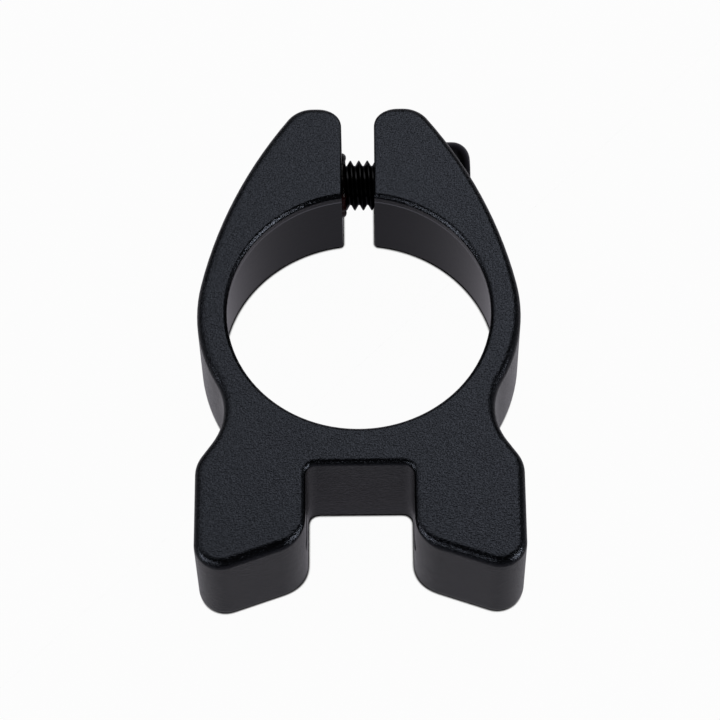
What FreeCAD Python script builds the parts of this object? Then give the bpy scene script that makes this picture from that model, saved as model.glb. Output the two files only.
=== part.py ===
import FreeCAD, Part
import math
import os

# Seat collar with two rack legs, pinched shut by one cap screw across its split.
# Millimetres and degrees. The origin is on the bore's axis, halfway up the collar.
# +Z is the way the seat post leaves the frame, +Y is towards the split, +X is the screw's head.

# Bore for the seat tube, with a lip that stops on the tube's end
seat_tube_diameter = 31.8
tube_slip = 0.05
lip_width = 1.0
lip_height = 1.5
lip_edge_chamfer = 0.1
lip_mouth_chamfer = 0.4
bore_mouth_chamfer = 0.2

# Ring and the split between the two ears
ring_wall = 2.43
gap_width = 3.81
ear_past_screw = 6.9
ear_inner_round = 2.85
ear_outer_round = 3.6
ear_tip_flat = 0.55
flank_radius = 56.5

# Waist, legs and the slot that takes the rack's stay
waist_angle = 28.9
waist_radius = 7.2
flare_angle = 34.4
shoulder_round = 4.0
legs_across = 36.5
leg_length = 13.55
leg_corner_round = 3.0
leg_slant = 19.7
slot_width = 12.0
slot_floor_wall = 3.5
slot_floor_round = 1.2
slot_mouth_round = 4.06

# Rounded edges of the two flat faces
edge_round = 1.1
slot_edge_round = 0.7
slot_under_round = 0.3
gap_edge_round = 0.25

# Cap screw
thread_diameter = 6.0
screw_length = 16.0
screw_tip_chamfer = 0.7
neck_flare = 0.25
head_diameter = 10.0
head_height = 6.0
head_round = 2.1
hex_across_flats = 5.0
hex_depth = 3.0
hex_point_angle = 118.0

# Holes for the screw: threaded in the left ear, clear in the right ear, recess for the head
thread_fit = 0.05
screw_clearance = 0.3
head_clearance = 0.3
head_web = 5.27
recess_wall = 1.4
recess_bore_wall = 0.7
screw_hole_chamfer = 0.3

# Tapped rack holes, one through each leg
rack_tap_diameter = 4.2
rack_hole_from_floor = 4.85
rack_hole_chamfer = 0.5

# Sizes that follow from the ones above
bore_radius = seat_tube_diameter / 2 + tube_slip
lip_radius = bore_radius - lip_width
ring_radius = bore_radius + ring_wall
gap_face = gap_width / 2
recess_radius = head_diameter / 2 + head_clearance
thickness = 2 * (recess_radius + recess_wall)
top = thickness / 2
head_seat = gap_face + head_web
screw_y = math.sqrt((bore_radius + recess_bore_wall) ** 2 - head_seat ** 2) + recess_radius
ear_tip = screw_y + ear_past_screw
leg_side = legs_across / 2
slot_side = slot_width / 2
slot_floor = -(bore_radius + slot_floor_wall)
leg_end = slot_floor - leg_length
rack_hole_y = slot_floor - rack_hole_from_floor
past = 2 * ring_radius

Z_UP = FreeCAD.Vector(0, 0, 1)
X_RIGHT = FreeCAD.Vector(1, 0, 0)


def flat(x, y):
    """A point in the collar's middle plane."""
    return FreeCAD.Vector(x, y, 0)


def polar(centre, radius, degrees):
    """The point at an angle on a circle in the middle plane."""
    turn = math.radians(degrees)
    return centre + flat(radius * math.cos(turn), radius * math.sin(turn))


def arc(centre, radius, start, end):
    """An arc edge between two angles, through the angle halfway."""
    middle = polar(centre, radius, (start + end) / 2)
    return Part.Arc(polar(centre, radius, start), middle, polar(centre, radius, end)).toShape()


def corner_arc(corner, arrive, leave, radius):
    """The arc that rounds a corner between two straight directions."""
    turn = arrive.getAngle(leave)
    reach = radius * math.tan(turn / 2)
    start = corner - arrive * reach
    end = corner + leave * reach
    inward = leave - arrive
    inward.normalize()
    centre = corner + inward * (radius / math.cos(turn / 2))
    return Part.Arc(start, centre - inward * radius, end).toShape()


def line(start, end):
    return Part.LineSegment(start, end).toShape()


def first_point(edge):
    return edge.valueAt(edge.FirstParameter)


def last_point(edge):
    return edge.valueAt(edge.LastParameter)


def half_outline():
    """Right half of the plan, from the gap face round the ear, ring and leg to the slot's floor."""
    inner_centre = flat(gap_face + ear_inner_round, ear_tip - ear_inner_round)
    outer_centre = flat(inner_centre.x + ear_tip_flat, ear_tip - ear_outer_round)

    # The flank is tangent to the ring and to the ear's outer corner: its centre lies where
    # two circles about those centres cross, on the far side of the bore.
    to_ring = flank_radius - ring_radius
    to_corner = flank_radius - ear_outer_round
    apart = outer_centre.Length
    along = (to_ring ** 2 - to_corner ** 2 + apart ** 2) / (2 * apart)
    aside = math.sqrt(to_ring ** 2 - along ** 2)
    towards = outer_centre / apart
    flank_centre = towards * along + flat(-towards.y, towards.x) * aside
    ring_angle = math.degrees(math.atan2(-flank_centre.y, -flank_centre.x))
    from_flank = outer_centre - flank_centre
    corner_angle = math.degrees(math.atan2(from_flank.y, from_flank.x))

    inner_round = arc(inner_centre, ear_inner_round, 180, 90)
    outer_round = arc(outer_centre, ear_outer_round, 90, corner_angle)
    flank = arc(flank_centre, flank_radius, corner_angle, ring_angle)

    # The waist ends where the shoulder's round begins, or before. Where the legs are narrow
    # for their ring, it therefore leaves the ring further round than its own angle says.
    flare_turn = math.radians(flare_angle)
    flare = flat(math.sin(flare_turn), -math.cos(flare_turn))
    shoulder_start = leg_side - shoulder_round * math.tan(flare_turn / 2) * flare.x
    waist_reach = ring_radius + waist_radius
    waist_limit = min(shoulder_start + waist_radius * math.cos(flare_turn), waist_reach)
    waist_place = max(waist_angle, math.degrees(math.acos(waist_limit / waist_reach)))
    ring = arc(flat(0, 0), ring_radius, ring_angle, -waist_place)
    waist_centre = polar(flat(0, 0), waist_reach, -waist_place)
    waist = arc(waist_centre, waist_radius, 180 - waist_place, 180 + flare_angle)
    waist_end = last_point(waist)
    shoulder = waist_end + flare * ((leg_side - waist_end.x) / flare.x)
    down = flat(0, -1)
    slant = math.radians(leg_slant)
    inward = flat(-math.cos(slant), math.sin(slant))
    leg_corner = flat(leg_side, leg_end)
    mouth_corner = flat(slot_side, leg_end + (leg_side - slot_side) * math.tan(slant))
    floor_corner = flat(slot_side, slot_floor)

    rounds = [
        inner_round,
        outer_round,
        flank,
        ring,
        waist,
        corner_arc(shoulder, flare, down, shoulder_round),
        corner_arc(leg_corner, down, inward, leg_corner_round),
        corner_arc(mouth_corner, inward, flat(0, 1), slot_mouth_round),
        corner_arc(floor_corner, flat(0, 1), flat(-1, 0), slot_floor_round),
    ]
    edges = [line(flat(gap_face, 0), first_point(inner_round))]
    for this, following in zip(rounds, rounds[1:]):
        edges.append(this)
        if last_point(this).distanceToPoint(first_point(following)) > 1e-6:
            edges.append(line(last_point(this), first_point(following)))
    edges.append(rounds[-1])
    edges.append(line(last_point(rounds[-1]), flat(0, slot_floor)))
    return edges


def rounded_plate():
    """The whole plan extruded to the collar's thickness, with the edges of its flat faces rounded."""
    right = half_outline()
    left = [edge.mirror(flat(0, 0), X_RIGHT) for edge in right]
    bridge = line(flat(gap_face, 0), flat(-gap_face, 0))
    wire = Part.Wire(Part.__sortEdges__(right + left + [bridge]))
    wire.translate(FreeCAD.Vector(0, 0, -top))
    plate = Part.Face(wire).extrude(Z_UP * thickness)

    document = FreeCAD.newDocument("collar")
    base = document.addObject("Part::Feature", "plate")
    base.Shape = plate
    rounding = document.addObject("Part::Fillet", "rounding")
    rounding.Base = base
    rounding.Edges = list(edge_radii(plate))
    document.recompute()
    return rounding.Shape.copy()


def edge_radius(place):
    """Rounding at one place on the rim of a flat face: full outside, less in the slot, slight at the gap."""
    if abs(abs(place.x) - gap_face) < 1e-6:
        return gap_edge_round
    if place.y < 0 and abs(place.x) < slot_side + 1e-6:
        return slot_edge_round if place.z > 0 else slot_under_round
    return edge_round


def edge_radii(plate):
    """Number of each edge of the flat faces, with the rounding at both its ends."""
    for number, edge in enumerate(plate.Edges, 1):
        ends = [vertex.Point for vertex in edge.Vertexes]
        if any(abs(abs(end.z) - top) > 1e-6 for end in ends):
            continue
        if all(abs(end.y) < 1e-6 for end in ends):
            continue
        yield (number, edge_radius(ends[0]), edge_radius(ends[1]))


def bore_tool():
    """What the bore takes away: lip, tube seat and the chamfered mouths, as one turned shape."""
    lip_under = top - lip_height
    profile = [
        (0, past),
        (lip_radius + lip_mouth_chamfer, past),
        (lip_radius + lip_mouth_chamfer, top),
        (lip_radius, top - lip_mouth_chamfer),
        (lip_radius, lip_under + lip_edge_chamfer),
        (lip_radius + lip_edge_chamfer, lip_under),
        (bore_radius, lip_under),
        (bore_radius, bore_mouth_chamfer - top),
        (bore_radius + bore_mouth_chamfer, -top),
        (bore_radius + bore_mouth_chamfer, -past),
        (0, -past),
    ]
    points = [FreeCAD.Vector(radius, 0, height) for radius, height in profile]
    section = Part.Face(Part.makePolygon(points + points[:1]))
    return section.revolve(flat(0, 0), Z_UP, 360)


def along_x(radius, start, end, y):
    """A round tool along X at a distance from the bore's axis."""
    return Part.makeCylinder(radius, end - start, FreeCAD.Vector(start, y, 0), X_RIGHT)


def chamfer_tool(radius, depth, face, into, y):
    """A cone that breaks the edge of a hole where it comes out at a face."""
    return Part.makeCone(radius + depth, radius, depth, FreeCAD.Vector(face, y, 0), into)


def make_clamp_body():
    """One piece of aluminium: ring, ears and legs, with its bore, screw holes and rack holes."""
    clear_radius = thread_diameter / 2 + screw_clearance
    threaded_radius = thread_diameter / 2 + thread_fit
    rack_radius = rack_tap_diameter / 2
    left = X_RIGHT * -1
    tools = [
        bore_tool(),
        along_x(clear_radius, 0, past, screw_y),
        along_x(recess_radius, head_seat, past, screw_y),
        along_x(threaded_radius, -past, 0, screw_y),
        chamfer_tool(threaded_radius, screw_hole_chamfer, -gap_face, left, screw_y),
        chamfer_tool(clear_radius, screw_hole_chamfer, head_seat, left, screw_y),
        along_x(rack_radius, -past, past, rack_hole_y),
        chamfer_tool(rack_radius, rack_hole_chamfer, leg_side, left, rack_hole_y),
        chamfer_tool(rack_radius, rack_hole_chamfer, -leg_side, X_RIGHT, rack_hole_y),
    ]
    return rounded_plate().cut(tools)


def make_clamp_bolt():
    """Cap screw turned about X, with a rounded head and a hexagon socket."""
    radius = thread_diameter / 2
    head_radius = head_diameter / 2
    head_end = head_seat + head_height
    tip = head_seat - screw_length
    diagonal = 1 - math.sqrt(0.5)

    def at(x, out):
        return FreeCAD.Vector(x, out, 0)

    neck_start = at(head_seat - neck_flare, radius)
    neck_end = at(head_seat, radius + neck_flare)
    rim_start = at(head_end - head_round, head_radius)
    rim_middle = at(head_end - head_round * diagonal, head_radius - head_round * diagonal)
    rim_end = at(head_end, head_radius - head_round)
    edges = [
        line(at(tip, 0), at(tip, radius - screw_tip_chamfer)),
        line(at(tip, radius - screw_tip_chamfer), at(tip + screw_tip_chamfer, radius)),
        line(at(tip + screw_tip_chamfer, radius), neck_start),
        line(neck_start, neck_end),
        line(neck_end, at(head_seat, head_radius)),
        line(at(head_seat, head_radius), rim_start),
        Part.Arc(rim_start, rim_middle, rim_end).toShape(),
        line(rim_end, at(head_end, 0)),
        line(at(head_end, 0), at(tip, 0)),
    ]
    turned = Part.Face(Part.Wire(edges)).revolve(flat(0, 0), X_RIGHT, 360)

    corner_radius = hex_across_flats / math.sqrt(3)
    corners = [
        FreeCAD.Vector(head_end - hex_depth, corner_radius * math.cos(turn), corner_radius * math.sin(turn))
        for turn in (math.radians(60 * side) for side in range(6))
    ]
    hexagon = Part.Face(Part.makePolygon(corners + corners[:1]))
    socket = hexagon.extrude(X_RIGHT * (hex_depth + head_height))
    drilled = hex_across_flats / 2
    point_depth = drilled / math.tan(math.radians(hex_point_angle / 2))
    point = Part.makeCone(drilled, 0, point_depth, at(head_end - hex_depth, 0), X_RIGHT * -1)
    bolt = turned.cut([socket, point])
    bolt.translate(flat(0, screw_y))
    return bolt


os.makedirs("parts", exist_ok=True)
for name, solid in (("clamp_body", make_clamp_body()), ("clamp_bolt", make_clamp_bolt())):
    piece = solid.Solids[0] if len(solid.Solids) == 1 else solid
    print(name, "solids", len(solid.Solids), "valid", piece.isValid(), "volume", round(piece.Volume, 2))
    piece.exportStep("parts/" + name + ".step")
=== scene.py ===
import math

import bpy
from mathutils import Matrix, Vector


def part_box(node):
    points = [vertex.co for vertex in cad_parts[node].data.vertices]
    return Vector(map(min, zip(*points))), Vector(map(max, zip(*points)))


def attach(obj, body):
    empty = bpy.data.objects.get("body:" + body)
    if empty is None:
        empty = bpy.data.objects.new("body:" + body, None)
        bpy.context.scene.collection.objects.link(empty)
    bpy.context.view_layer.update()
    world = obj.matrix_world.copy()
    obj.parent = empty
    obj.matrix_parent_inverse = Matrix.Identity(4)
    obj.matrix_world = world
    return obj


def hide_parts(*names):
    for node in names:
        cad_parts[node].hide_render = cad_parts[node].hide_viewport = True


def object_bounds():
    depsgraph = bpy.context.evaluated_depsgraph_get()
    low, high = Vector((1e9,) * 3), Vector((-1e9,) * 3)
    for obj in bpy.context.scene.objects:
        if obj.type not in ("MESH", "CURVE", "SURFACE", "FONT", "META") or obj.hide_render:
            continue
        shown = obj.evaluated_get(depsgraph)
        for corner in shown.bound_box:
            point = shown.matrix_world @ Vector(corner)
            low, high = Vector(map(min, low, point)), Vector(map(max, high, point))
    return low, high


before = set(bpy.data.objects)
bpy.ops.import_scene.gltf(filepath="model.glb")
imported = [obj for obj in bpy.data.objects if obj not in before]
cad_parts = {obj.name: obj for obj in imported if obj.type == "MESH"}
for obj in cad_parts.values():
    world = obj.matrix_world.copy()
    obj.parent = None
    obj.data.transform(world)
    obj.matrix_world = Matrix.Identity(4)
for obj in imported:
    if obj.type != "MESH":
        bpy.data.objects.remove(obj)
cad_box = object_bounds()

# Collar: ring, ears and rack legs in one piece of aluminium, milled from a profile,
# bead blasted and anodised black. It slips over the seat tube and stops on its own lip.
# Only the bore is left as turned: the beads never reach under the lip.

MM = 0.001
SAME_PLACE = 0.004 * MM
WELD = 0.002 * MM
FLAT_ANGLE = math.radians(0.4)
SOFT_EDGE_ANGLE = math.radians(32)
LIP_RADIUS = 14.95 * MM
LIP_UNDERSIDE = 5.2 * MM
LIP_CHAMFER = 0.4 * MM
BORE_RADIUS = 15.95 * MM
BORE_CHAMFER = 0.2 * MM
ROLLED_SHARE = 0.4
GAP_FACE = 1.905 * MM
BROKEN_EDGE = 0.06 * MM
RACK_HOLE_PLACE = Vector((0, -24.3 * MM, 0))
RACK_THREAD_RADIUS = 2.5 * MM
RACK_THREAD_PITCH = 0.8 * MM
RACK_TAP_RADIUS = 2.05 * MM
TAP_OVERRUN = 1.0 * MM
THREAD_STEPS = 72
THREAD_WELD = 0.001 * MM
CLEAN_CUT = 0.0001 * MM


def select_only(piece):
    """Leaves one piece selected and active."""
    bpy.ops.object.select_all(action="DESELECT")
    piece.select_set(True)
    bpy.context.view_layer.objects.active = piece


def edit(piece, kind="VERT"):
    """Opens one piece in edit mode with nothing selected."""
    select_only(piece)
    bpy.ops.object.mode_set(mode="EDIT")
    bpy.ops.mesh.select_mode(type=kind)
    bpy.ops.mesh.select_all(action="DESELECT")


def leave_edit():
    bpy.ops.object.mode_set(mode="OBJECT")


def apply_modifiers(piece):
    """Applies a piece's modifiers in their order."""
    select_only(piece)
    for modifier in list(piece.modifiers):
        bpy.ops.object.modifier_apply(modifier=modifier.name)


collar_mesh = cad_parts["clamp_body"].data.copy()
collar = bpy.data.objects.new("collar", collar_mesh)
bpy.context.scene.collection.objects.link(collar)
edit(collar)
bpy.ops.mesh.select_all(action="SELECT")
bpy.ops.mesh.remove_doubles(threshold=WELD)
bpy.ops.mesh.customdata_custom_splitnormals_clear()
bpy.ops.mesh.dissolve_limited(angle_limit=FLAT_ANGLE)
leave_edit()


def round_edges(piece, wanted, radius, segments):
    """Rounds the edges whose two ends both pass a test."""
    edit(piece, "EDGE")
    leave_edit()
    vertices = piece.data.vertices
    for edge in piece.data.edges:
        edge.select = all(wanted(vertices[index].co) for index in edge.vertices)
    bpy.ops.object.mode_set(mode="EDIT")
    bpy.ops.mesh.bevel(offset=radius, segments=segments, profile=0.5, affect="EDGES")
    leave_edit()


def from_bore_axis(point):
    return math.hypot(point.x, point.y)


def on_ring(point, radius, height):
    """True for a point on one circle about the bore's axis."""
    return abs(from_bore_axis(point) - radius) < SAME_PLACE and abs(point.z - height) < SAME_PLACE


def at_gap_corner(point):
    """True for a point on the upright edges where the bore meets the faces of the gap."""
    on_face = abs(abs(point.x) - GAP_FACE) < SAME_PLACE
    return on_face and abs(from_bore_axis(point) - BORE_RADIUS) < SAME_PLACE


round_edges(collar, at_gap_corner, BROKEN_EDGE, 2)
top = cad_box[1].z
for radius, chamfer, side in ((LIP_RADIUS, LIP_CHAMFER, 1), (BORE_RADIUS, BORE_CHAMFER, -1)):
    inner_ring = (radius, side * (top - chamfer))
    outer_ring = (radius + chamfer, side * top)
    round_edges(
        collar,
        lambda point: on_ring(point, *inner_ring) or on_ring(point, *outer_ring),
        ROLLED_SHARE * chamfer,
        3,
    )


def draw_chain(name, points):
    """A chain of edges drawn from one vertex, point by point."""
    bpy.ops.object.select_all(action="DESELECT")
    bpy.ops.mesh.primitive_plane_add(size=MM)
    piece = bpy.context.active_object
    piece.name = name
    edit(piece)
    bpy.ops.mesh.select_all(action="SELECT")
    bpy.ops.mesh.merge(type="CENTER")
    bpy.ops.transform.translate(value=points[0])
    for here, there in zip(points, points[1:]):
        bpy.ops.mesh.extrude_vertices_move(TRANSFORM_OT_translate={"value": there - here})
    leave_edit()
    return piece


def slice_off(place, outwards):
    """In edit mode, takes off all that lies beyond a plane across X and closes the cut."""
    bpy.ops.mesh.select_all(action="SELECT")
    bpy.ops.mesh.bisect(
        plane_co=(place, 0, 0),
        plane_no=(outwards, 0, 0),
        use_fill=True,
        clear_outer=True,
        threshold=CLEAN_CUT,
    )


def screw_thread(name, start, end, outer, inner, pitch):
    """A solid 60 degree thread along X about the origin, with a crest at every whole pitch over +Y."""
    turns = math.ceil((end - start) / pitch) + 2
    first = math.floor(start / pitch) - 1
    half = pitch / 2
    crest = pitch / 16
    root = half - crest - (outer - inner) * math.tan(math.radians(30))
    tooth = [
        (-half, inner),
        (-half + root, inner),
        (-crest, outer),
        (crest, outer),
        (half - root, inner),
        (half, inner),
    ]
    piece = draw_chain(name, [Vector((first * pitch + x, out, 0)) for x, out in tooth])
    wind = piece.modifiers.new("wind", "SCREW")
    wind.axis = "X"
    wind.angle = math.tau
    wind.screw_offset = pitch
    wind.iterations = turns
    wind.steps = wind.render_steps = THREAD_STEPS
    wind.use_merge_vertices = True
    wind.merge_threshold = THREAD_WELD
    apply_modifiers(piece)
    edit(piece)
    slice_off(start, -1)
    slice_off(end, 1)
    bpy.ops.mesh.select_all(action="SELECT")
    bpy.ops.mesh.remove_doubles(threshold=THREAD_WELD)
    bpy.ops.mesh.normals_make_consistent(inside=False)
    leave_edit()
    return piece


def cut(piece, tool, operation):
    """Boolean of a piece with a tool, which is used up."""
    change = piece.modifiers.new(operation.lower(), "BOOLEAN")
    change.operation = operation
    change.solver = "EXACT"
    change.object = tool
    apply_modifiers(piece)
    bpy.data.objects.remove(tool)


def move(piece, step):
    """Shifts a piece's mesh."""
    edit(piece)
    bpy.ops.mesh.select_all(action="SELECT")
    bpy.ops.transform.translate(value=step)
    leave_edit()


tap = screw_thread(
    "tap",
    cad_box[0].x - TAP_OVERRUN,
    cad_box[1].x + TAP_OVERRUN,
    RACK_THREAD_RADIUS,
    RACK_TAP_RADIUS,
    RACK_THREAD_PITCH,
)
move(tap, RACK_HOLE_PLACE)
cut(collar, tap, "DIFFERENCE")
select_only(collar)
bpy.ops.object.shade_smooth_by_angle(angle=SOFT_EDGE_ANGLE)
weigh = collar.modifiers.new("flat faces stay flat", "WEIGHTED_NORMAL")
weigh.keep_sharp = True
weigh.weight = 75
apply_modifiers(collar)


def lies_inside(face, radius):
    """True for a face whose corners all lie within a radius of the bore's axis."""
    corners = [collar.data.vertices[index].co for index in face.vertices]
    return all(from_bore_axis(point) < radius + SAME_PLACE for point in corners)


turned = collar.data.attributes.new("turned", "FLOAT", "FACE")
rubbed = collar.data.attributes.new("rubbed", "FLOAT", "FACE")
for face in collar.data.polygons:
    in_bore = face.center.z < LIP_UNDERSIDE and lies_inside(face, BORE_RADIUS)
    turned.data[face.index].value = float(in_bore)
    rubbed.data[face.index].value = float(in_bore or lies_inside(face, LIP_RADIUS))

PIT_DARK = (0.0079, 0.0086, 0.0105, 1.0)
PIT_LIGHT = (0.0262, 0.0286, 0.0346, 1.0)
PIT_LIMITS = (0.35, 0.65)
PIT_SIZE = 0.16 * MM
PIT_DEPTH = 0.05 * MM
DENT_SCALE = 0.4
DENT_SHARE = 0.6
DRIFT_SCALE = 420.0
BARE_OXIDE = (0.0220, 0.0227, 0.0255, 1.0)
# Painted highlight: a bright colour for a narrow band at the foot of the lip's wall.
PAINTED_LIP_HIGHLIGHT = (0.130, 0.134, 0.148, 1.0)
LIP_HIGHLIGHT_BAND = (LIP_UNDERSIDE + 0.2 * MM, LIP_UNDERSIDE + 0.35 * MM)
BLASTED_ROUGHNESS = (0.17, 0.25)
TURNED_ROUGHNESS = 0.6
TURNED_CONTRAST = 0.25
UNIT = (0.0, 1.0)


def feed(links, value, socket):
    """Links a socket to another one, or sets it to a plain value."""
    if isinstance(value, bpy.types.NodeSocket):
        links.new(value, socket)
    else:
        socket.default_value = value


def work_out(nodes, links, operation, *values):
    """The result of a sum on sockets and plain numbers."""
    node = nodes.new("ShaderNodeMath")
    node.operation = operation
    for value, socket in zip(values, node.inputs):
        feed(links, value, socket)
    return node.outputs[0]


def noise(nodes, links, place, scale, detail):
    """Noise over the piece's own coordinates."""
    node = nodes.new("ShaderNodeTexNoise")
    node.inputs["Detail"].default_value = detail
    feed(links, scale, node.inputs["Scale"])
    links.new(place.outputs["Object"], node.inputs["Vector"])
    return node.outputs["Fac"]


def blast_grain_group():
    """What glass beads leave: pits for colour, their relief with wider dents, a slow drift for gloss."""
    group = bpy.data.node_groups.new("blast grain", "ShaderNodeTree")
    for name in ("Pit Size", "Contrast"):
        group.interface.new_socket(name, in_out="INPUT", socket_type="NodeSocketFloat")
    for name in ("Pits", "Relief", "Drift"):
        group.interface.new_socket(name, in_out="OUTPUT", socket_type="NodeSocketFloat")
    nodes, links = group.nodes, group.links
    entry = nodes.new("NodeGroupInput")
    leave = nodes.new("NodeGroupOutput")
    place = nodes.new("ShaderNodeTexCoord")
    contrast = entry.outputs["Contrast"]
    scale = work_out(nodes, links, "DIVIDE", 1.0, entry.outputs["Pit Size"])
    pits = noise(nodes, links, place, scale, 2.0)
    dents = noise(nodes, links, place, work_out(nodes, links, "MULTIPLY", scale, DENT_SCALE), 1.0)
    drift = noise(nodes, links, place, DRIFT_SCALE, 2.0)
    centred = work_out(nodes, links, "SUBTRACT", pits, 0.5)
    height = work_out(nodes, links, "MULTIPLY_ADD", centred, contrast, 0.5)
    dent_share = work_out(nodes, links, "MULTIPLY", contrast, DENT_SHARE)
    relief = work_out(nodes, links, "MULTIPLY_ADD", dents, dent_share, height)
    links.new(height, leave.inputs["Pits"])
    links.new(relief, leave.inputs["Relief"])
    links.new(drift, leave.inputs["Drift"])
    return group


def blank_material(name):
    """A new material, with its nodes, its links and its shader."""
    material = bpy.data.materials.new(name)
    material.use_nodes = True
    tree = material.node_tree
    return material, tree.nodes, tree.links, tree.nodes["Principled BSDF"]


def stretch(nodes, links, value, old, new):
    """A value moved from one range to another, and kept inside it."""
    node = nodes.new("ShaderNodeMapRange")
    node.inputs["From Min"].default_value, node.inputs["From Max"].default_value = old
    node.inputs["To Min"].default_value, node.inputs["To Max"].default_value = new
    links.new(value, node.inputs["Value"])
    return node.outputs["Result"]


def blend(nodes, links, factor, first, second):
    """A colour between two others."""
    node = nodes.new("ShaderNodeMix")
    node.data_type = "RGBA"
    links.new(factor, node.inputs["Factor"])
    feed(links, first, node.inputs["A"])
    feed(links, second, node.inputs["B"])
    return node.outputs["Result"]


def roughen(nodes, links, shader, pit_size, contrast, depth, strength):
    """Dents a shader's surface with the blast grain, and gives the grain for further use."""
    grain = nodes.new("ShaderNodeGroup")
    grain.node_tree = blast_grain
    grain.inputs["Pit Size"].default_value = pit_size
    feed(links, contrast, grain.inputs["Contrast"])
    bump = nodes.new("ShaderNodeBump")
    bump.inputs["Distance"].default_value = depth
    bump.inputs["Strength"].default_value = strength
    links.new(grain.outputs["Relief"], bump.inputs["Height"])
    links.new(bump.outputs["Normal"], shader.inputs["Normal"])
    return grain.outputs


def mesh_mark(nodes, name):
    """The value that the mesh carries under a name."""
    node = nodes.new("ShaderNodeAttribute")
    node.attribute_name = name
    return node.outputs["Fac"]


def anodised_aluminium():
    """Black dyed oxide over blasted metal, rubbed smooth in the bore, with a painted highlight: a bright
    band of colour at the foot of the lip's wall.
    """
    material, nodes, links, shader = blank_material("black_anodised_aluminium")
    shader.inputs["Metallic"].default_value = 1.0
    bore = mesh_mark(nodes, "turned")
    contrast = stretch(nodes, links, bore, UNIT, (1.0, TURNED_CONTRAST))
    grain = roughen(nodes, links, shader, PIT_SIZE, contrast, PIT_DEPTH, 1.0)
    pitted = nodes.new("ShaderNodeValToRGB")
    for stop, position, colour in zip(pitted.color_ramp.elements, PIT_LIMITS, (PIT_DARK, PIT_LIGHT)):
        stop.position = position
        stop.color = colour
    links.new(grain["Pits"], pitted.inputs["Fac"])
    tube_side = mesh_mark(nodes, "rubbed")
    worn = blend(nodes, links, tube_side, pitted.outputs["Color"], BARE_OXIDE)
    place = nodes.new("ShaderNodeTexCoord")
    along = nodes.new("ShaderNodeSeparateXYZ")
    links.new(place.outputs["Object"], along.inputs["Vector"])
    # Painted highlight: the foot of the lip's wall is coloured bright, where its lower edge would catch
    # the light.
    low = stretch(nodes, links, along.outputs["Z"], LIP_HIGHLIGHT_BAND, (1.0, 0.0))
    on_lip = work_out(nodes, links, "SUBTRACT", tube_side, bore)
    lip_highlight_mask = work_out(nodes, links, "MULTIPLY", low, on_lip)
    links.new(blend(nodes, links, lip_highlight_mask, worn, PAINTED_LIP_HIGHLIGHT), shader.inputs["Base Color"])
    blasted = stretch(nodes, links, grain["Drift"], UNIT, BLASTED_ROUGHNESS)
    smoother = stretch(nodes, links, bore, UNIT, (1.0, TURNED_ROUGHNESS))
    links.new(work_out(nodes, links, "MULTIPLY", blasted, smoother), shader.inputs["Roughness"])
    return material


blast_grain = blast_grain_group()
collar.data.materials.clear()
collar.data.materials.append(anodised_aluminium())
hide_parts("clamp_body")
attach(collar, "clamp")

# Pinch bolt: M6 x 16 socket head cap screw in steel, cold headed, thread rolled, blacked and oiled.
# Its head sits in the right ear's recess and its thread runs through the gap into the left ear.

THREAD_PITCH = 1.0 * MM
THREAD_RADIUS = 2.935 * MM
THREAD_DEPTH = 0.6134 * THREAD_PITCH
THREAD_RUNOUT = 1.0 * MM
TIP_CHAMFER = 0.7 * MM
BLANK_MARGIN = 0.1 * MM
CREST_MARGIN = 0.05 * MM
NECK_RADIUS = 2.7 * MM
NECK_IN_THREAD = 0.3 * MM
NECK_IN_HEAD = 0.5 * MM
HEAD_HEIGHT = 6.0 * MM
HEAD_ROUND = 2.1 * MM
HEAD_UNDER_ROUND = 0.3 * MM
HEX_CORNER = 2.5 * MM / math.cos(math.radians(30))
HEX_DEPTH = 3.0 * MM
DRILL_RADIUS = 2.5 * MM
DRILL_POINT = DRILL_RADIUS / math.tan(math.radians(118 / 2))
DRILL_LAP = 0.01 * MM
TURN_TO_X = (0, math.radians(90), 0)

bolt_low, bolt_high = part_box("clamp_bolt")
bolt_axis = Vector((0, (bolt_low.y + bolt_high.y) / 2, (bolt_low.z + bolt_high.z) / 2))
head_radius = (bolt_high.y - bolt_low.y) / 2
head_end = bolt_high.x
head_seat = head_end - HEAD_HEIGHT
thread_end = head_seat - THREAD_RUNOUT
blank_tip = bolt_low.x - BLANK_MARGIN


def turned_bar(name, start, end, radius, sides=96):
    """A round bar along X about the origin."""
    bpy.ops.object.select_all(action="DESELECT")
    bpy.ops.mesh.primitive_cylinder_add(
        vertices=sides,
        radius=radius,
        depth=end - start,
        location=((start + end) / 2, 0, 0),
        rotation=TURN_TO_X,
    )
    piece = bpy.context.active_object
    piece.name = name
    bpy.ops.object.transform_apply(location=True, rotation=True, scale=True)
    return piece


def round_end(piece, place, radius, segments):
    """Rounds the rim of a bar where it ends at a place along X."""
    round_edges(piece, lambda point: abs(point.x - place) < SAME_PLACE, radius, segments)


bolt = turned_bar("pinch_bolt", head_seat, head_end, head_radius)
round_end(bolt, head_end, HEAD_ROUND, 12)
round_end(bolt, head_seat, HEAD_UNDER_ROUND, 3)

hexagon = turned_bar("hexagon", head_end - HEX_DEPTH, head_end + HEX_DEPTH, HEX_CORNER, 6)
bpy.ops.mesh.primitive_cone_add(
    vertices=48,
    radius1=0,
    radius2=DRILL_RADIUS,
    depth=DRILL_POINT,
    location=(head_end - HEX_DEPTH - DRILL_POINT / 2 + DRILL_LAP, 0, 0),
    rotation=TURN_TO_X,
)
drill = bpy.context.active_object
bpy.ops.object.transform_apply(location=True, rotation=True, scale=True)
cut(bolt, hexagon, "DIFFERENCE")
cut(bolt, drill, "DIFFERENCE")

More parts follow.
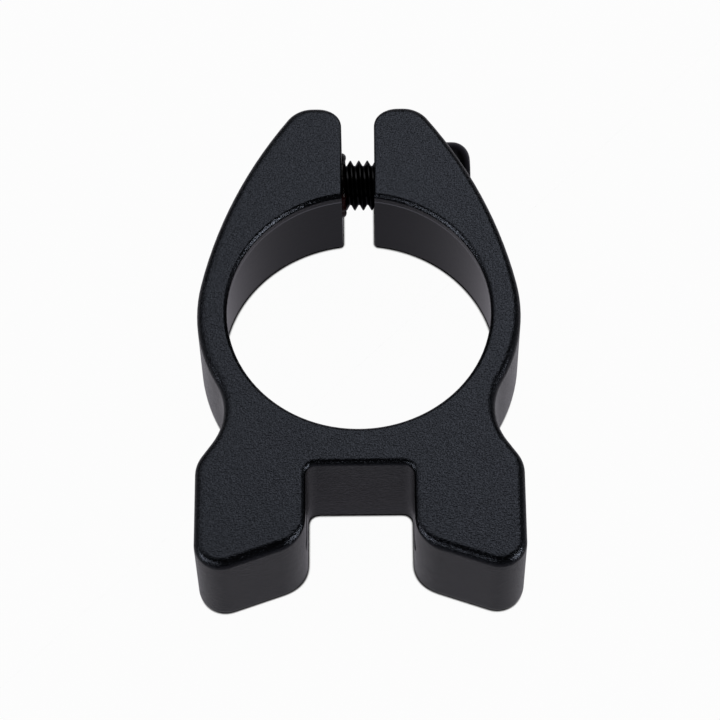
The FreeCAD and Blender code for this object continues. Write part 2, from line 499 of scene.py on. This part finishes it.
thread_root = THREAD_RADIUS - THREAD_DEPTH
shank = screw_thread("shank", bolt_low.x, thread_end, THREAD_RADIUS, thread_root, THREAD_PITCH)
blank = turned_bar("blank", blank_tip, thread_end + BLANK_MARGIN, THREAD_RADIUS + CREST_MARGIN)
round_end(blank, blank_tip, TIP_CHAMFER + BLANK_MARGIN, 1)
cut(shank, blank, "INTERSECT")
neck = turned_bar("neck", thread_end - NECK_IN_THREAD, head_seat + NECK_IN_HEAD, NECK_RADIUS)
cut(bolt, neck, "UNION")
cut(bolt, shank, "UNION")
move(bolt, bolt_axis)
select_only(bolt)
bpy.ops.object.shade_smooth_by_angle(angle=SOFT_EDGE_ANGLE)

BOLT_BLACK = (0.0080, 0.0080, 0.0085, 1.0)
BOLT_GREY = (0.0130, 0.0130, 0.0140, 1.0)
BOLT_EDGE = (0.55, 0.55, 0.57, 1.0)
BOLT_ROUGHNESS = (0.2, 0.3)
SCALE_SIZE = 0.4 * MM
SCALE_DEPTH = 0.02 * MM


def blacked_steel():
    """Black oxide on steel under a film of oil."""
    material, nodes, links, shader = blank_material("black_oxide_steel")
    shader.inputs["Metallic"].default_value = 1.0
    shader.inputs["Specular Tint"].default_value = BOLT_EDGE
    grain = roughen(nodes, links, shader, SCALE_SIZE, 1.0, SCALE_DEPTH, 0.2)
    links.new(blend(nodes, links, grain["Drift"], BOLT_BLACK, BOLT_GREY), shader.inputs["Base Color"])
    rough = stretch(nodes, links, grain["Drift"], UNIT, BOLT_ROUGHNESS)
    links.new(rough, shader.inputs["Roughness"])
    return material


bolt.data.materials.clear()
bolt.data.materials.append(blacked_steel())
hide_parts("clamp_bolt")
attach(bolt, "bolt")

# Thread locker: a smear of dried dark red resin that the bolt pushed out of the left ear's thread.
# It is lumpy, glassy where it is thick, and it stays on the ear when the bolt turns.

RESIN_RING = 3.3 * MM
RESIN_BEAD = 0.42 * MM
LUMP_SIZE = 1.6 * MM
LUMP_HEIGHT = 0.55 * MM

bpy.ops.object.select_all(action="DESELECT")
bpy.ops.mesh.primitive_torus_add(
    major_segments=120,
    minor_segments=20,
    major_radius=RESIN_RING,
    minor_radius=RESIN_BEAD,
    location=(-GAP_FACE, bolt_axis.y, bolt_axis.z),
    rotation=TURN_TO_X,
)
resin = bpy.context.active_object
resin.name = "thread_locker"
bpy.ops.object.transform_apply(location=True, rotation=True, scale=True)
lumps = bpy.data.textures.new("lumps", "CLOUDS")
lumps.noise_scale = LUMP_SIZE
lumps.noise_depth = 2
swell = resin.modifiers.new("lumps", "DISPLACE")
swell.texture = lumps
swell.texture_coords = "LOCAL"
swell.strength = LUMP_HEIGHT
swell.mid_level = 0.5
apply_modifiers(resin)
edit(resin)
slice_off(-GAP_FACE, -1)
leave_edit()
select_only(resin)
bpy.ops.object.shade_smooth_by_angle(angle=SOFT_EDGE_ANGLE)

RESIN_RED = (0.022, 0.0006, 0.0008, 1.0)
# Painted shade: the resin is coloured near black away from its front edge.
RESIN_PAINTED_SHADE = (0.0012, 0.0004, 0.0004, 1.0)
RED_BEFORE = 2.6 * MM
RESIN_IOR = 1.2
RESIN_ROUGHNESS = 0.3
WRINKLE_SIZE = 0.6 * MM
WRINKLE_DEPTH = 0.1 * MM


def dried_resin():
    """Dark red resin, painted black as shade over most of it and left red at its front edge, where light
    from the floor would shine through it.
    """
    material, nodes, links, shader = blank_material("dried_resin")
    shader.inputs["IOR"].default_value = RESIN_IOR
    shader.inputs["Roughness"].default_value = RESIN_ROUGHNESS
    roughen(nodes, links, shader, WRINKLE_SIZE, 1.0, WRINKLE_DEPTH, 0.5)
    place = nodes.new("ShaderNodeTexCoord")
    along = nodes.new("ShaderNodeSeparateXYZ")
    links.new(place.outputs["Object"], along.inputs["Vector"])
    red_end = (bolt_axis.y - RESIN_RING, bolt_axis.y - RED_BEFORE)
    resin_shade_mask = stretch(nodes, links, along.outputs["Y"], red_end, UNIT)
    links.new(blend(nodes, links, resin_shade_mask, RESIN_RED, RESIN_PAINTED_SHADE), shader.inputs["Base Color"])
    return material


resin.data.materials.clear()
resin.data.materials.append(dried_resin())
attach(resin, "clamp")

# Table: the plain white sheet that the clamp lies on, bright enough to be pure white in a photograph.
# The clamp's walls mirror it more faintly, and a painted pool of light makes them mirror it a little
# stronger inside the bore.
# Only the narrow gap under the clamp's rounded edges is dark: there a painted contact shadow, from an
# occlusion test, darkens the sheet's colour and its glow.

FLOOR_SIZE = 6.0
FLOOR_WHITE = (0.25, 0.25, 0.25, 1.0)
CONTACT_SHADOW_BLACK = (0.01, 0.01, 0.01, 1.0)
CONTACT_SHADOW_REACH = 0.5 * MM
CONTACT_SHADOW_LIMITS = (0.6, 0.84)
SEEN_WHITE = (1.0, 1.0, 1.0, 1.0)
SEEN_SHARE = 0.97
MIRRORED_WHITE = (0.94, 0.90, 1.0, 1.0)
BORE_POOL_SHARE = 0.36
OUTER_SHARE = 0.265
REFLECTED_POOL_EDGE = (0.9 * BORE_RADIUS, 1.4 * BORE_RADIUS)

bpy.ops.object.select_all(action="DESELECT")
bpy.ops.mesh.primitive_plane_add(size=FLOOR_SIZE, location=(0, 0, cad_box[0].z))
table = bpy.context.active_object
table.name = "table"


def white_sheet():
    """White paper that glows for the camera and in reflections, still takes a shadow, and has a painted
    contact shadow in the gap under the clamp.
    """
    material, nodes, links, shader = blank_material("white_sheet")
    nodes.clear()
    # Painted contact shadow: close to the clamp's foot the paper's colour and its glow for the camera
    # fade to black.
    contact_shade = nodes.new("ShaderNodeAmbientOcclusion")
    contact_shade.samples = 16
    contact_shade.inputs["Distance"].default_value = CONTACT_SHADOW_REACH
    seen_share = stretch(nodes, links, contact_shade.outputs["AO"], CONTACT_SHADOW_LIMITS, (0.0, SEEN_SHARE))
    paper = nodes.new("ShaderNodeBsdfDiffuse")
    links.new(blend(nodes, links, seen_share, CONTACT_SHADOW_BLACK, FLOOR_WHITE), paper.inputs["Color"])
    place = nodes.new("ShaderNodeTexCoord")
    away = nodes.new("ShaderNodeVectorMath")
    away.operation = "LENGTH"
    links.new(place.outputs["Object"], away.inputs[0])
    # Painted pool of light: the glow seen in reflections is stronger within the bore's ring on the
    # sheet.
    mirrored_share = stretch(nodes, links, away.outputs["Value"], REFLECTED_POOL_EDGE, (BORE_POOL_SHARE, OUTER_SHARE))
    path = nodes.new("ShaderNodeLightPath")
    glossy, through = path.outputs["Is Glossy Ray"], path.outputs["Is Transmission Ray"]
    mirrored = work_out(nodes, links, "MAXIMUM", glossy, through)
    surface = paper.outputs["BSDF"]
    for ray, share, colour in (
        (mirrored, mirrored_share, MIRRORED_WHITE),
        (path.outputs["Is Camera Ray"], seen_share, SEEN_WHITE),
    ):
        glow = nodes.new("ShaderNodeEmission")
        glow.inputs["Color"].default_value = colour
        mix = nodes.new("ShaderNodeMixShader")
        links.new(work_out(nodes, links, "MULTIPLY", ray, share), mix.inputs["Fac"])
        links.new(surface, mix.inputs[1])
        links.new(glow.outputs["Emission"], mix.inputs[2])
        surface = mix.outputs["Shader"]
    out = nodes.new("ShaderNodeOutputMaterial")
    links.new(surface, out.inputs["Surface"])
    return material


table.data.materials.append(white_sheet())

# Light: two soft boxes high at the back, which the flat faces mirror, and a dim card low down on
# each of the four sides. Small bright boxes at the left, the right and the front left put the
# glints on the corners. The front is almost dark, and so are the rounded edges that face it.

ROOM_GREY = (0.05, 0.05, 0.053, 1.0)

world = bpy.data.worlds.new("room")
bpy.context.scene.world = world
world.use_nodes = True
world.node_tree.nodes["Background"].inputs["Color"].default_value = ROOM_GREY


def soft_box(name, place, width, height, radiance):
    """A lamp aimed at the clamp, in metres, with a given brightness of its face."""
    lamp = bpy.data.lights.new(name, "AREA")
    lamp.shape = "RECTANGLE"
    lamp.size = width
    lamp.size_y = height
    lamp.energy = radiance * math.pi * width * height
    holder = bpy.data.objects.new(name, lamp)
    holder.location = place
    holder.rotation_euler = Vector(place).to_track_quat("Z", "Y").to_euler()
    bpy.context.scene.collection.objects.link(holder)


soft_box("back_box", (-0.12, 0.318, 0.509), 1.0, 0.46, 1.28)
soft_box("back_right_box", (0.18, 0.318, 0.509), 0.32, 0.46, 1.3)
soft_box("back_card", (0, 0.62, 0.2), 0.5, 0.3, 0.25)
soft_box("front_card", (0, -0.62, 0.29), 0.7, 0.26, 0.1)
soft_box("left_card", (-0.62, 0.05, 0.24), 0.5, 0.4, 0.35)
soft_box("right_card", (0.62, 0.05, 0.24), 0.5, 0.4, 0.35)
soft_box("front_left_box", (-0.26, -0.44, 0.31), 0.1, 0.1, 14.0)
soft_box("left_box", (-0.516, -0.234, 0.198), 0.16, 0.16, 17.0)
soft_box("right_box", (0.516, -0.234, 0.198), 0.16, 0.16, 25.0)

# Camera: a long lens that looks down on the clamp from above its legs, as in the photograph.
# Its place, tilt and focal length come from a fit to the outlines in the photograph.

AZIMUTH = math.radians(0.672)
ELEVATION = math.radians(62.062)
ROLL = math.radians(-1.161)
DISTANCE = 368.03 * MM
TARGET = Vector((0.062 * MM, -2.988 * MM, 0))
LENS = 160.5
SENSOR = 36.0
NEAREST = 10 * MM

back = Vector((
    math.sin(AZIMUTH) * math.cos(ELEVATION),
    -math.cos(AZIMUTH) * math.cos(ELEVATION),
    math.sin(ELEVATION),
))
right = Vector((math.cos(AZIMUTH), math.sin(AZIMUTH), 0))
up = back.cross(right)
tilted_right = right * math.cos(ROLL) + up * math.sin(ROLL)
tilted_up = up * math.cos(ROLL) - right * math.sin(ROLL)
lens = bpy.data.cameras.new("camera")
lens.lens = LENS
lens.sensor_width = SENSOR
lens.clip_start = NEAREST
camera = bpy.data.objects.new("camera", lens)
turn = Matrix((tilted_right, tilted_up, back)).transposed().to_4x4()
camera.matrix_world = Matrix.Translation(TARGET + back * DISTANCE) @ turn
bpy.context.scene.collection.objects.link(camera)
bpy.context.scene.camera = camera
bpy.context.scene.view_settings.view_transform = "Standard"
